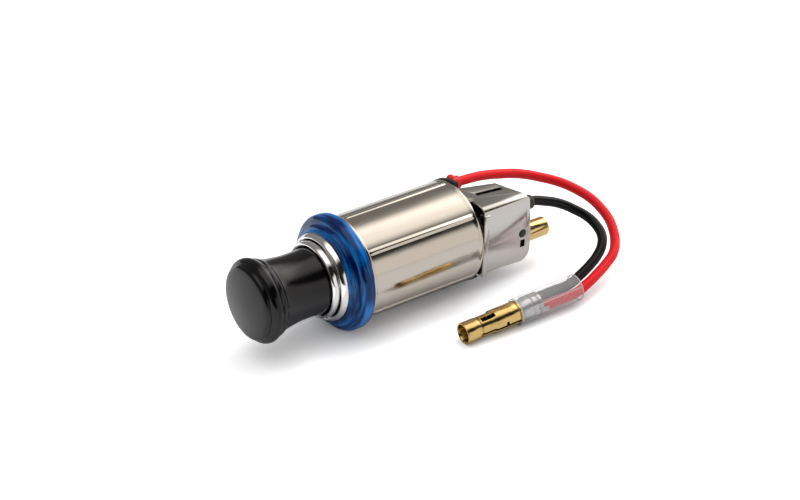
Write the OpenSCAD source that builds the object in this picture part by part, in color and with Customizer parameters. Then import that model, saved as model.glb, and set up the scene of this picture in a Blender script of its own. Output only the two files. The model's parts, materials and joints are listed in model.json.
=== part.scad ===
// Car cigarette lighter: socket with a lit ring, push-in heater plug, lamp hood and wired lead.
// Lengths are in millimetres. The lighter lies on its ring and its end disc, knob towards -X.
// Each round piece is turned about the lighter's own axis, which drops slightly to the rear.
// Along that axis, zero is the front edge of the barrel and positive runs rearward.

/* [Barrel] */
// Outer radius of the nickel barrel
shell_r = 14.5; // [14.3:0.1:14.6]
// Length of the barrel
shell_len = 37; // [36.8:0.1:37.2]
// Sheet thickness of the barrel, the hood and the socket cup
sheet = 0.6; // [0.4:0.1:0.7]
// Height of the pressed ribs along the barrel
rib_h = 0.35; // [0.2:0.05:0.4]
// Radius of the black end disc
disc_r = 14.75; // [14.7:0.05:15]
// Thickness of the black end disc
disc_t = 1.4; // [1.2:0.1:1.6]

/* [Ring] */
// Outer radius of the translucent ring
ring_r = 16.35; // [16:0.05:17]
// Length of the part of the ring in front of the barrel
ring_len = 7.3; // [7.3:0.1:7.5]

/* [Socket] */
// Radius of the socket's bore
bore_r = 10.5; // [10.45:0.05:10.6]
// Outer radius of the bezel in front of the ring
bezel_r = 12.33; // [12.2:0.01:12.5]

/* [Plug] */
// Outer radius of the plug's sleeve
sleeve_r = 10.15; // [10:0.05:10.2]
// Sheet thickness of the plug's sleeve
sleeve_t = 0.5; // [0.4:0.05:0.5]
// Radius of the sleeve's rolled lip
lip_r = 10.75; // [10.6:0.05:10.9]
// Distance of the knob's face in front of the barrel
knob_front = 32.6; // [32.4:0.1:33]
// Radius of the knob's head
head_r = 11.8; // [11.4:0.1:12]
// Radius of the knob's waist
waist_r = 9.1; // [8.9:0.05:9.2]
// Travel of the knob when pressed
press = 6; // [4:0.5:6]

/* [Heater] */
// Outer radius of the heater cup
cup_r = 7.9; // [7.6:0.1:7.9]
// Thickness of the coiled heating ribbon
ribbon_t = 0.35; // [0.25:0.05:0.4]
// Turns of the heating ribbon
ribbon_turns = 5; // [4:1:5]

/* [Hood] */
// Height of the hood's top above the lighter's axis
hood_top = 11.8; // [11.5:0.1:12]
// Depth of the hood's bottom below the axis
hood_bottom = 9.4; // [9.2:0.1:9.6]
// Distance of the hood's near side from the axis
hood_near = 12; // [11.8:0.1:12.2]
// Distance of the hood's far side from the axis
hood_far = 5.2; // [5:0.1:5.6]
// Radius of the brass terminal pin
pin_r = 2.8; // [2.4:0.1:2.8]
// Length of the terminal pin behind the hood
pin_len = 9.3; // [8:0.1:9.5]

/* [Lead] */
// Diameter of each wire
wire_d = 2.8; // [2.4:0.1:2.8]
// Outer radius of the bullet connector's mouth
bullet_r = 3.03; // [3:0.01:3.1]
// Radius of the bullet connector's bore
bullet_bore_r = 2.5; // [2.3:0.05:2.5]
// Outer radius of the clear sleeve
clear_r = 3.75; // [3.7:0.05:3.8]

/* [Hidden] */
$fn = 72;

// Where the ring and the disc meet the floor, along the axis
ring_foot = -1.5;
disc_rear = shell_len + disc_t;
disc_chamfer = 0.2;
disc_cut_r = 12.2;
disc_foot = disc_rear - disc_chamfer;
tilt = atan((ring_r - disc_r) / (disc_foot - ring_foot));
axis_z = ring_foot * sin(tilt) + ring_r * cos(tilt);
axis_x = -16;

// Fits between pieces
slip = 0.05;
shell_in = shell_r - sheet;
cup_out = bore_r + sheet;
cup_end = shell_len - sheet;
sleeve_in = sleeve_r - sleeve_t;
bolt_r = 2;
bush_r = 3.95;
rivet_r = 1;

// Rear of the ring's flange, and the barrel's rolled front edge behind it
flange_rear = -1.2;
edge_front = -0.9;
edge_r = 15.5;

// Angles of the barrel's ribs, seen from the front with zero to the far side
rib_angles = [33, 82.5, 136.5, 213, 262.5, 316.5];

// The lamp's window through the barrel's end and the disc
window_y = -7.2;
window_z = 10;
window_r = 1.3;

// Centres of the two hood rivets
hood_feet = [[-5, -11.3], [9.6, -7.8]];

// The slot in the hood's top and the hole in its near side
slot_at = [45.6, -4.6];
slot_size = [8.4, 1.6];
slot_turn = -8.5;
nub_at = [52.4, -0.3];
nub_hole_r = 1.25;

// The hood's rear wall and its folds
hood_front = disc_rear;
hood_rear = 55.4;
hood_rear_top = 54.2;
fold_r = 1.8;
heel_r = 3.6;

// Places, turns and dips of the two planes that fold the top down: far edge and rear corner
top_folds = [[[44.85, -0.4], 72.3, 40], [[50.1, -2.6], 19, 29.5]];

// The brass pin, the grommet and the lamp in the hood
pin_y = -7;
pin_z = -4.2;
grommet_y = -9.4;
grommet_z = 7.3;
grommet_r = 2.05;
lamp_y = -7.2;
lamp_z = 5.4;
lamp_r = 2.9;

// The feed tab leaves the centre bolt in this direction
tab_angle = 62.5;
tab_r = 12.2;

// The heater plug's stations along the axis
seat_x = 17;
heater_x = 21.2;
heater_len = 5.4;
sleeve_end = 27.8;

// The return spring, from the knob's insert to its seat
insert_x = -4.4;
spring_r = 5.6;
spring_wire = 0.9;
spring_from = insert_x + spring_wire / 2;
spring_to = seat_x - spring_wire / 2;
spring_turns = 8;
spring_steps = 16;

// The lead's connector: mouth centre, turn and rise
lead_mouth = [2.6, -28.5, 3.03];
lead_yaw = -4;
lead_rise = 2.4;
clear_from = 17.2;
clear_to = 37.5;

// Routes of the two wires, from the lighter to the connector
red_route = [
  [27.3, 5.6, 25.4], [31.7, 5.8, 24.8], [35.4, 5.9, 24.2], [42.3, 5.5, 22.6], [48.7, 4.3, 20.9],
  [54.1, 2, 19], [58.6, -1.7, 17.4], [61, -5.5, 16.2], [62.8, -10.2, 14.7], [63.3, -14, 13.2],
  [63.2, -17.8, 11.4], [62.1, -21, 9.8], [60.5, -23.7, 8.4], [57.1, -26.9, 7], [52.8, -28.8, 6],
  [47.8, -30.5, 5.2], [43.6, -31.6, 4.5], [39.4, -32.3, 3.8], [32.4, -32, 3.6],
  [25, -31.4, 3.4], [23, -31.2, 3.3]
];
black_route = [
  [35.4, -9.4, 21.5], [41.4, -9.4, 21.25], [45.9, -10.1, 19.9], [50.2, -11.5, 18.2],
  [53.7, -13.9, 16.1], [56, -16.9, 14.3], [56.7, -19.7, 12.8], [56.3, -22.6, 11.2],
  [54.5, -24.9, 9.8], [51.4, -26.7, 8.4], [47.6, -28, 7.3], [43.1, -29.1, 6.3],
  [39, -29.8, 5.4], [32.5, -29.6, 5.3], [25, -29, 5.05], [23, -28.8, 4.95]
];

// Points on an arc, given as [along, radius] pairs
function arc(c, r, from, to, n = 6) =
  [for (i = [0:n]) let (a = from + (to - from) * i / n) [c[0] + r * cos(a), c[1] + r * sin(a)]];

// Points of a straight run turned to [radius, along] for a revolve
function swap(points) = [for (p = points) [p[1], p[0]]];

// Puts a piece on the lighter's tilted axis
module on_axis() {
  translate([axis_x, 0, axis_z]) rotate([0, tilt, 0]) children();
}

// A solid turned about the axis from [along, radius] pairs
module turned(points) {
  rotate([0, 90, 0]) rotate_extrude() polygon(swap(points));
}

// A cylinder along the axis, at a place across it
module rod(from, to, r, y = 0, z = 0) {
  translate([from, y, z]) rotate([0, 90, 0]) cylinder(r = r, h = to - from);
}

// A box given by its lowest corner and its highest corner
module block(low, high) {
  translate(low) cube(high - low);
}

// A plate in the along-and-height plane, laid from one y to another
module side_plate(points, y0, y1) {
  translate([0, y1, 0]) rotate([90, 0, 0]) linear_extrude(height = y1 - y0) polygon(points);
}

// A plate in the plane across the axis, laid from one station to another
module cross_plate(points, x0, x1) {
  translate([x0, 0, 0]) rotate([90, 0, 90]) linear_extrude(height = x1 - x0) polygon(points);
}

// Socket

// Drawn steel cup that the plug slides into, with a rounded bezel at its mouth
module socket_cup() {
  bezel_c = [-7.45, bezel_r - 1.48];
  color("gainsboro") on_axis() turned(concat(
    [[-7.9, bore_r], [-8.45, bore_r + 0.35]],
    arc(bezel_c, 1.487, 164, 84, 8),
    [[-ring_len, bezel_r], [-ring_len, cup_out], [cup_end - 1.5, cup_out]],
    arc([cup_end - 1.5, cup_out - 1.5], 1.5, 90, 0, 5),
    [[cup_end, bush_r + slip], [cup_end - sheet, bush_r + slip]],
    arc([cup_end - 1.5, cup_out - 1.5], 0.9, 0, 90, 5)
  ));
}

// Translucent ring that is clamped against the panel and lights up
module glow_ring() {
  color([0.05, 0.25, 0.7, 0.8]) on_axis() turned([
    [-ring_len, cup_out + slip], [-ring_len, 12.3], [-7.2, 12.7], [-7, 12.9], [-6.8, 12.85],
    [-6.65, 13.2], [-6.45, 13.8], [-6.15, 14.15], [-5.8, 14.25], [-5.5, 14.15], [-5.3, 13.95],
    [-5.15, 14.1], [-4.95, 14.9], [-4.6, 15.6], [-4.1, 16.1], [-3.5, ring_r],
    [ring_foot, ring_r], [-1.3, 16.25], [flange_rear, 16.1], [flange_rear, edge_r + 0.1],
    [edge_front, edge_r + 0.1], [edge_front, shell_in - slip],
    [1.2, shell_in - slip], [1.2, 12.7], [5, 12.3], [5, cup_out + slip]
  ]);
}

// Rib pressed out of the barrel, with round ends
module rib() {
  bar_r = 0.9;
  sink = shell_r + rib_h - bar_r;
  rod(2, shell_len - 2.2, bar_r, z = sink, $fn = 24);
  for (x = [2, shell_len - 2.2]) translate([x, 0, sink]) sphere(r = bar_r, $fn = 24);
}

// Nickel barrel with a rolled front edge, ribs and a closed rear end
module clamp_shell() {
  bend_r = 1;
  corner = [shell_len - bend_r, shell_r - bend_r];
  color("silver") on_axis() difference() {
    union() {
      turned(concat(
        [[edge_front, shell_in], [edge_front, edge_r - 0.2], [edge_front + 0.15, edge_r]],
        [[-0.2, edge_r], [0.05, edge_r - 0.2], [0.3, shell_r]],
        arc(corner, bend_r, 90, 0, 6),
        [[shell_len, bush_r + slip], [shell_len - sheet, bush_r + slip]],
        arc(corner, bend_r - sheet, 0, 90, 4)
      ));
      difference() {
        for (a = rib_angles) rotate([a - 90, 0, 0]) rib();
        rod(-1, shell_len, shell_r - 0.3);
      }
    }
    rod(shell_len - 2, shell_len + 1, window_r, window_y, window_z, $fn = 32);
    for (f = hood_feet) rod(shell_len - 2, shell_len + 1, rivet_r + slip, f[0], f[1], $fn = 32);
  }
}

// Insulating disc behind the barrel, cut back on the near side where the hood folds down
module end_disc() {
  color([0.08, 0.08, 0.08]) on_axis() difference() {
    turned([
      [shell_len, bolt_r + slip], [shell_len, disc_r - disc_chamfer],
      [shell_len + disc_chamfer, disc_r], [disc_foot, disc_r], [disc_rear, disc_r - disc_chamfer],
      [disc_rear, bolt_r + slip]
    ]);
    difference() {
      cross_plate([[0, 0], [0, 20], [-20, 20], [-20, -20], [-15.6, -20]], shell_len - 1, disc_rear + 1);
      rod(shell_len - 2, disc_rear + 2, disc_cut_r);
    }
    rod(shell_len - 1, disc_rear + 1, window_r, window_y, window_z, $fn = 32);
    for (f = hood_feet) rod(shell_len - 1, disc_rear + 1, rivet_r + slip, f[0], f[1], $fn = 32);
  }
}

// Insulating bush that keeps the centre bolt off the cup
module insulating_bush() {
  color("saddlebrown") on_axis() turned([
    [cup_end - sheet - 0.8, bolt_r + slip], [cup_end - sheet - 0.8, 6],
    [cup_end - sheet, 6], [cup_end - sheet, bush_r], [shell_len, bush_r],
    [shell_len, bolt_r + slip]
  ]);
}

// Three spring fingers that hold the pressed heater cup until it is hot
module bimetal_clip() {
  back = cup_end - sheet - 0.8;
  color("peru") on_axis() difference() {
    union() {
      rod(back - 0.6, back, 6.2);
      for (a = [30, 150, 270]) rotate([a, 0, 0]) side_plate([
        [back - 0.6, 5.5], [back - 2.1, 8.6], [back - 4.3, 8.65], [back - 5.4, 8.2],
        [back - 6.2, 8.2], [back - 6.8, 8.75], [back - 6.5, 9.2], [back - 6, 8.7],
        [back - 5.5, 8.7], [back - 4.4, 9.15], [back - 1.8, 9.15], [back, 6], [back, 5.5]
      ], -2.5, 2.5);
    }
    rod(back - 1, back + 1, bolt_r + slip);
  }
}

// Centre bolt, the live contact of the socket
module contact_bolt() {
  head_x = cup_end - sheet - 1.4;
  color("darkgoldenrod") on_axis() turned([
    [head_x - 1.2, 0], [head_x - 1.2, 2.2], [head_x - 0.8, 3.1], [head_x, 3.4],
    [head_x, bolt_r], [disc_rear + 4.6, bolt_r], [disc_rear + 4.9, bolt_r - 0.3],
    [disc_rear + 4.9, 0]
  ]);
}

// Plain washer under the nut
module contact_washer() {
  color("silver") on_axis() difference() {
    rod(disc_rear + 0.5, disc_rear + 1.1, 4.3);
    rod(disc_rear, disc_rear + 2, bolt_r + slip);
  }
}

// Hexagon nut on the centre bolt, its corners turned off
module contact_nut() {
  from = disc_rear + 1.1;
  color("silver") on_axis() difference() {
    intersection() {
      rod(from, from + 2.8, 4.04, $fn = 6);
      turned([
        [from, 0], [from, 3.75], [from + 0.3, 4.1], [from + 2.5, 4.1], [from + 2.8, 3.75],
        [from + 2.8, 0]
      ]);
    }
    rod(from - 1, from + 4, bolt_r + 0.02);
  }
}

// Brass strap from the centre bolt to the tab for the red wire
module feed_strap() {
  color("goldenrod") on_axis() difference() {
    union() {
      rod(disc_rear, disc_rear + 0.5, 4.2);
      rotate([tab_angle - 90, 0, 0]) {
        block([disc_rear, -1.8, 0], [disc_rear + 0.5, 1.8, tab_r + 0.25]);
        block([disc_rear, -1.2, tab_r - 0.25], [disc_rear + 3, 1.2, tab_r + 0.25]);
      }
    }
    rod(disc_rear - 1, disc_rear + 2, bolt_r + slip);
  }
}

// Red insulated end of the feed wire, pushed over the tab
module red_boot() {
  color("red") on_axis() rotate([tab_angle - 90, 0, 0]) difference() {
    union() {
      rod(disc_rear + 0.7, disc_rear + 4.4, 1.9, z = tab_r, $fn = 40);
      translate([disc_rear + 2.4, 0, tab_r + 1.35]) sphere(r = 1.35, $fn = 32);
    }
    block([disc_rear, -1.2, tab_r - 0.25], [disc_rear + 3, 1.2, tab_r + 0.25]);
  }
}

// Outline of the hood seen along the axis, drawn in by a margin
function hood_cross(m) = concat(
  arc([-hood_near + 1.2, -hood_bottom + 1.2], 1.2 - m, 270, 180, 4),
  arc([-hood_near + fold_r, hood_top - fold_r], fold_r - m, 180, 90, 5),
  [[hood_far - m, hood_top - m], [hood_far - m, -hood_bottom + m]]
);

// The hood's outer form, or its hollow when a margin is given
module hood_form(m, front) {
  difference() {
    intersection() {
      cross_plate(hood_cross(m), front, hood_rear + 1);
      side_plate(concat(
        [[front, hood_top - m], [front, -hood_bottom + m]],
        arc([hood_rear - heel_r, -hood_bottom + heel_r], heel_r - m, 270, 360, 6),
        [[hood_rear - m, -1]],
        arc([hood_rear_top - 1.2, hood_top - 1.2], 1.2 - m, 5, 90, 4)
      ), -hood_near - 1, hood_far + 1);
    }
    for (f = top_folds) translate([f[0][0], f[0][1], hood_top]) rotate([0, -f[2], f[1]])
      block([-m, -40, -40], [60, 40, 40]);
  }
}

// Folded sheet hood over the lamp and the contacts
module lamp_hood() {
  lip = 0.45;
  lip_end = hood_front + 2;
  color("silver") on_axis() difference() {
    union() {
      hood_form(0, hood_front);
      // Rolled lip round the open front
      block([hood_front, -hood_near - lip, 0.2 - hood_bottom - lip], [lip_end, 1 - hood_near, 9.6]);
      block([hood_front, 0.6 - hood_near, -hood_bottom - lip], [lip_end, hood_far, -8.8]);
      // Two feet for the rivets
      block([hood_front, -7, -12.8], [hood_front + sheet, -3, -9]);
      block([hood_front, 4.8, -9.6], [hood_front + sheet, 11.4, -6]);
    }
    hood_form(sheet, hood_front - 1);
    // Notch that lets the feed strap out
    rotate([tab_angle - 90, 0, 0])
      block([hood_front - 1, -2.1, 6], [hood_front + 0.9, 2.1, 16]);
    // Slot in the top and a small notch in its front edge
    translate([slot_at[0], slot_at[1], hood_top]) rotate([0, 0, slot_turn])
      cube([slot_size[0], slot_size[1], 4], center = true);
    rod(hood_front - 1, hood_front + 1, 0.7, -5.9, hood_top, $fn = 24);
    // Hole in the near side for the lamp holder's nub
    translate([nub_at[0], -hood_near - 1, nub_at[1]]) rotate([-90, 0, 0])
      cylinder(r = nub_hole_r, h = 3, $fn = 32);
    rod(hood_rear - 2, hood_rear + 1, 1.7, pin_y, pin_z, $fn = 40);
    rod(hood_rear - 3, hood_rear + 1, grommet_r - 0.25, grommet_y, grommet_z, $fn = 40);
    for (f = hood_feet) rod(hood_front - 1, hood_front + 2, rivet_r + slip, f[0], f[1], $fn = 32);
  }
}

// Two rivets that hold the hood to the disc and the barrel
module hood_rivets() {
  color("silver") on_axis() for (f = hood_feet) translate([0, f[0], f[1]]) {
    rod(shell_len - sheet, hood_front + sheet, rivet_r, $fn = 32);
    turned([
      [hood_front + sheet, 0], [hood_front + sheet, 1.4], [hood_front + sheet + 0.4, 1.2],
      [hood_front + sheet + 0.7, 0.6], [hood_front + sheet + 0.7, 0]
    ]);
    rod(shell_len - sheet - 0.5, shell_len - sheet, 1.25, $fn = 32);
  }
}

// Brass pin riveted in the hood's rear wall
module terminal_pin() {
  tip = hood_rear + pin_len;
  color("gold") on_axis() translate([0, pin_y, pin_z]) turned([
    [hood_rear - sheet - 0.6, 0], [hood_rear - sheet - 0.6, 1.7], [hood_rear - sheet, 1.9],
    [hood_rear - sheet, 1.65], [hood_rear, 1.65], [hood_rear, pin_r], [tip - 0.7, pin_r],
    [tip - 0.25, pin_r - 0.2], [tip, pin_r - 0.7], [tip, 0]
  ]);
}

// Moulded holder for the lamp, with a nub that snaps into the hood's side
module lamp_holder() {
  near = -hood_near + sheet;
  color([0.15, 0.15, 0.15]) on_axis() difference() {
    union() {
      block([45, near, -1.4], [51, -3.4, 9.4]);
      block([50, near, -1.4], [53.4, -3.4, 3]);
      translate([nub_at[0], near, nub_at[1]]) rotate([90, 0, 0])
        cylinder(r = nub_hole_r - 0.25, h = sheet, $fn = 32);
    }
    rod(44, 50, lamp_r + 0.15 + slip, lamp_y, lamp_z, $fn = 48);
  }
}

// Brass cap of the lamp
module lamp_cap() {
  color("goldenrod") on_axis() rod(44.6, 50, lamp_r + 0.15, lamp_y, lamp_z, $fn = 48);
}

// Glass bulb of the lamp
module lamp_bulb() {
  color([0.9, 0.95, 1, 0.5]) on_axis() translate([0, lamp_y, lamp_z]) turned(concat(
    [[44.6, 0], [44.6, lamp_r - 0.2], [43.8, lamp_r]],
    arc([42.6, 0], lamp_r, 90, 180, 8)
  ));
}

// Black bush that the black wire leaves the hood through
module wire_grommet() {
  bore = wire_d / 2 + slip;
  neck = grommet_r - 0.3;
  color([0.05, 0.05, 0.05]) on_axis() translate([0, grommet_y, grommet_z]) turned([
    [53.4, bore], [53.4, neck], [54.8, neck], [54.8, grommet_r], [56.5, grommet_r],
    [57.1, neck], [57.1, bore]
  ]);
}

// Plug

// Chromed tube of the plug, rolled to a lip at its front
module plug_sleeve() {
  lip_c = lip_r - 0.85;
  color("whitesmoke") on_axis() turned(concat(
    [[-10.6, sleeve_in]],
    arc([-10.05, lip_c], 0.85, 170, 90, 5),
    arc([-9.5, lip_c], 0.85, 90, 20, 5),
    [[-8.4, sleeve_r], [sleeve_end, sleeve_r], [sleeve_end, sleeve_in]]
  ));
}

// Steel washer fixed across the sleeve, which the return spring bears on
module spring_seat() {
  color("silver") on_axis() difference() {
    rod(seat_x, seat_x + 0.6, sleeve_in);
    rod(seat_x - 1, seat_x + 2, 1.65);
  }
}

// Centre line of the return spring, with a closed turn at each end
function spring_rise(u) =
  let (closed = spring_wire * 1.05, open = spring_to - spring_from - 2 * closed)
  u < 1 ? closed * u :
  u > spring_turns - 1 ? spring_to - spring_from - closed * (spring_turns - u) :
  closed + open * (u - 1) / (spring_turns - 2);
function spring_point(i) =
  let (u = i / spring_steps, a = 360 * u)
  [spring_from + spring_rise(u), spring_r * cos(a), spring_r * sin(a)];

// Coil spring that pushes the knob back out
module return_spring() {
  color("silver") on_axis()
    tube([for (i = [0:spring_turns * spring_steps]) spring_point(i)], spring_wire, 8, [1, 0, 0]);
}

// Moulded knob with a ringed head, a waist and a hollow skirt
module knob() {
  face_edge = 9.2;
  dome_r = 49.5;
  dome_c = dome_r - knob_front;
  dome_a = asin(face_edge / dome_r);
  color([0.06, 0.06, 0.07]) on_axis() difference() {
    turned(concat(
      [[-knob_front, 0]],
      arc([dome_c, 0], dome_r, 180 - dome_a / 4, 180 - dome_a, 4),
      [[-31.6, 9.6], [-31.4, 10], [-31.1, 10.3], [-30.8, 10.4], [-30.55, 10.3], [-30.4, 10.35]],
      arc([-28.5, head_r - 1.9], 1.9, 155, 60, 7),
      [[-26.9, 11.2], [-26.6, 11], [-26.1, 11], [-25.5, 10.8], [-25, 10.35], [-23.4, 9.9]],
      [[-21, 9.5], [-18, waist_r + 0.05], [-14.5, waist_r], [-11.2, waist_r + 0.2]],
      [[-8, 9.35], [-4, 9.35], [-4, 7.8], [-12, 7.6], [-22, 7.2], [-23, 6.2], [-23, 4.4]],
      [[-22, 4.2], [insert_x - 0.6, 4.2], [insert_x - 0.6, 2.6], [-14, 2.6], [-14, 1.6]],
      [[-16, 1.6], [-16, 0]]
    ));
  }
}

// Steel bush pressed in the knob, flanged to carry the spring
module knob_insert() {
  color("silver") on_axis() turned([
    [-14, 1.6], [-14, 2.6], [insert_x - 0.6, 2.6], [insert_x - 0.6, 7.2], [insert_x, 7.2],
    [insert_x, 1.6]
  ]);
}

// Steel rod that joins the knob to the heater
module plunger_rod() {
  color("silver") on_axis() rod(-16, heater_x, 1.6);
}

// Steel cup that carries the heating coil, open to the rear
module heater_cup() {
  rim = heater_x + heater_len;
  color("lightgrey") on_axis() turned([
    [heater_x, 1.2], [heater_x, cup_r - 0.8], [heater_x + 0.8, cup_r], [rim, cup_r],
    [rim, cup_r - 0.6], [heater_x + 0.6, cup_r - 0.6], [heater_x + 0.6, 1.2]
  ]);
}

// Ceramic disc under the coil
module coil_insulator() {
  color("ivory") on_axis() difference() {
    rod(heater_x + 0.6, heater_x + 2.4, cup_r - 0.6);
    rod(heater_x, heater_x + 4, 1.2);
  }
}

// Flat ribbon wound in a spiral, welded at the cup's wall and at the rivet
module heating_coil() {
  steps = 20;
  r0 = 1.2;
  r1 = cup_r - 0.6 - ribbon_t;
  count = ribbon_turns * steps;
  path = [for (i = [0:count]) let (a = 360 * i / steps, r = r0 + (r1 - r0) * i / count)
    [[r * cos(a), r * sin(a)], [(r + ribbon_t) * cos(a), (r + ribbon_t) * sin(a)]]];
  inner = [for (p = path) p[0]];
  outer = [for (i = [0:count]) path[count - i][1]];
  color("orangered") on_axis() cross_plate(concat(inner, outer), heater_x + 2.4, heater_x + 3.9);
}

// Rivet that holds the coil's inner end, the disc and the cup on the rod
module heater_rivet() {
  color("silver") on_axis() rod(heater_x, heater_x + 3.9, 1.2, $fn = 48);
}

// Lead

// Direction of a route at one of its points
function unit(v) = v / norm(v);
function heading(route, i) =
  unit(route[min(i + 1, len(route) - 1)] - route[max(i - 1, 0)]);

// Tube swept along the points of a route, which never runs along the given side
module tube(route, d, sides, side = [0, 1, -1]) {
  n = len(route);
  rings = [for (i = [0:n - 1])
    let (
      t = heading(route, i),
      u = unit(cross(t, side)),
      v = cross(t, u)
    )
    for (k = [0:sides - 1]) let (a = 360 * k / sides)
      route[i] + d / 2 * (cos(a) * u + sin(a) * v)];
  walls = [for (i = [0:n - 2]) for (k = [0:sides - 1])
    let (a = i * sides + k, b = i * sides + (k + 1) % sides)
    [a, b, b + sides, a + sides]];
  near_end = [for (k = [0:sides - 1]) sides - 1 - k];
  far_end = [for (k = [0:sides - 1]) (n - 1) * sides + k];
  polyhedron(rings, concat([near_end], walls, [far_end]), convexity = 10);
}

// Puts a piece on the connector's axis, which starts at its mouth
module on_lead() {
  translate(lead_mouth) rotate([0, -lead_rise, lead_yaw]) children();
}

// Red wire, from the feed tab to the connector
module red_wire() {
  color("crimson") tube(red_route, wire_d, 8);
}

// Black wire, from the lamp to the connector
module black_wire() {
  color([0.1, 0.1, 0.1]) tube(black_route, wire_d, 8);
}

// Clear soft tube over the crimped end of the connector
module clear_sleeve() {
  color([0.9, 0.9, 0.92, 0.4]) on_lead() difference() {
    rod(clear_from, clear_to, clear_r);
    rod(clear_from - 1, clear_to + 1, clear_r - 0.4);
  }
}

// Rolled brass connector: a slit barrel, a locking window, and two crimps
module bullet_connector() {
  barrel_end = 15.5;
  crimp_r = clear_r - 0.4;
  color("gold") on_lead() difference() {
    union() {
      turned([
        [0, bullet_bore_r + 0.15], [0, bullet_r - 0.1], [0.15, bullet_r], [4.3, bullet_r],
        [4.5, bullet_r - 0.25], [4.9, bullet_r - 0.25], [5.1, bullet_r], [8.6, bullet_r],
        [9.2, bullet_r + 0.25], [17.5, bullet_r + 0.25], [17.5, bullet_bore_r + 0.3],
        [barrel_end, bullet_bore_r], [0.2, bullet_bore_r]
      ]);
      turned([
        [17.4, 1.9], [17.4, 2.6], [19.2, 2.9], [20.2, crimp_r], [24.4, crimp_r], [24.4, 2.98],
        [20.4, 2.98], [19.2, 2.4], [18.2, 1.9]
      ]);
      turned([[17.4, 1.9], [17.4, bullet_r], [17.9, bullet_r], [18.3, 1.9]]);
    }
    // Slit where the sheet's edges meet, low on the near side, with a nick above it
    rotate([12, 0, 0]) block([4, -4, -0.35], [17, -2, 0.35]);
    rotate([-2, 0, 0]) block([12.2, -4, -0.5], [13, -2, 0.5]);
    // Locking window, a little to the near side of the top
    rotate([18, 0, 0]) block([5.3, -0.65, 2], [9.7, 0.65, 4]);
    // Gap above the crimps
    block([17.9, -1, 1], [20, 1, 4]);
  }
}

socket_cup();
glow_ring();
clamp_shell();
end_disc();
insulating_bush();
bimetal_clip();
contact_bolt();
contact_washer();
contact_nut();
feed_strap();
red_boot();
lamp_hood();
hood_rivets();
terminal_pin();
lamp_holder();
lamp_cap();
lamp_bulb();
wire_grommet();
plug_sleeve();
spring_seat();
return_spring();
knob();
knob_insert();
plunger_rod();
heater_cup();
coil_insulator();
heating_coil();
heater_rivet();
red_wire();
black_wire();
clear_sleeve();
bullet_connector();
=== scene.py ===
import json
import math

import bpy
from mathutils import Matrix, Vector


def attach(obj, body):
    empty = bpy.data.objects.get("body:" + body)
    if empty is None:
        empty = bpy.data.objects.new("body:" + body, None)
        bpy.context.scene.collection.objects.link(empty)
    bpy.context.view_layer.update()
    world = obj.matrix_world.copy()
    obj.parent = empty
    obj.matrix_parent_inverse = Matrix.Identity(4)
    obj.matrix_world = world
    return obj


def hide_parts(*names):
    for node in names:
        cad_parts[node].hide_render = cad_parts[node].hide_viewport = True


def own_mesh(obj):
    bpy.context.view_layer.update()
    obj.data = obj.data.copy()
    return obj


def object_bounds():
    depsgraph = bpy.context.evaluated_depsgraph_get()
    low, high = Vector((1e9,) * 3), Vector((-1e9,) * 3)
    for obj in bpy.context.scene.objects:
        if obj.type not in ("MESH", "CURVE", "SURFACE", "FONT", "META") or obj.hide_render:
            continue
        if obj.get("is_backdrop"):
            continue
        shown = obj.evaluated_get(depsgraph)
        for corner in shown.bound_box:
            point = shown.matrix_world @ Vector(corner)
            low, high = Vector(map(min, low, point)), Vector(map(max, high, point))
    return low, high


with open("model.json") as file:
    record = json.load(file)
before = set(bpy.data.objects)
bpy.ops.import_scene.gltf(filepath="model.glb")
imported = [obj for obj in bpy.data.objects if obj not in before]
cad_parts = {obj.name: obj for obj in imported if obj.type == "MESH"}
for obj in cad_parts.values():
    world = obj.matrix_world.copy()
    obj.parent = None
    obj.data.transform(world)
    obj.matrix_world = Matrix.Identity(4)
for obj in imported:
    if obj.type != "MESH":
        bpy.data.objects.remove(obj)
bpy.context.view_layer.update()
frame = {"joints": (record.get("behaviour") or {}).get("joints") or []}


# Socket cup
# The deep-drawn steel cup that the heater plug slides into. Its mouth is rolled into a rounded
# bezel in front of the blue ring, and it is chromed bright all over.
mm = 0.001
pull = Vector(frame["joints"][0]["axis"])
tilt = math.atan2(pull.z, -pull.x)
axis_start = Vector((-16, 0, 16.27634)) * mm

bore_r = 10.5
bezel_r = 12.33
cup_out = 11.1
ring_len = 7.3
cup_end = 36.4


def arc(centre, radius, start, end, count=8):
    """Points of an arc, as pairs of distance along the axis and radius."""
    turns = [math.radians(start + (end - start) * i / count) for i in range(count + 1)]
    return [(centre[0] + radius * math.cos(a), centre[1] + radius * math.sin(a)) for a in turns]


def draw(name, points):
    """A line through points in millimetres, drawn by extruding one vertex. It stays in edit mode."""
    bpy.ops.object.select_all(action="DESELECT")
    bpy.ops.mesh.primitive_plane_add(size=mm)
    piece = bpy.context.object
    piece.name = piece.data.name = name
    bpy.ops.object.mode_set(mode="EDIT")
    bpy.ops.mesh.select_mode(type="VERT")
    bpy.ops.mesh.select_all(action="SELECT")
    bpy.ops.mesh.merge(type="CENTER")
    bpy.ops.transform.translate(value=[p * mm for p in points[0]])
    for here, there in zip(points, points[1:]):
        step = [(b - a) * mm for a, b in zip(here, there)]
        bpy.ops.mesh.extrude_vertices_move(TRANSFORM_OT_translate={"value": step})
    bpy.ops.mesh.select_all(action="SELECT")
    return piece


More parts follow.
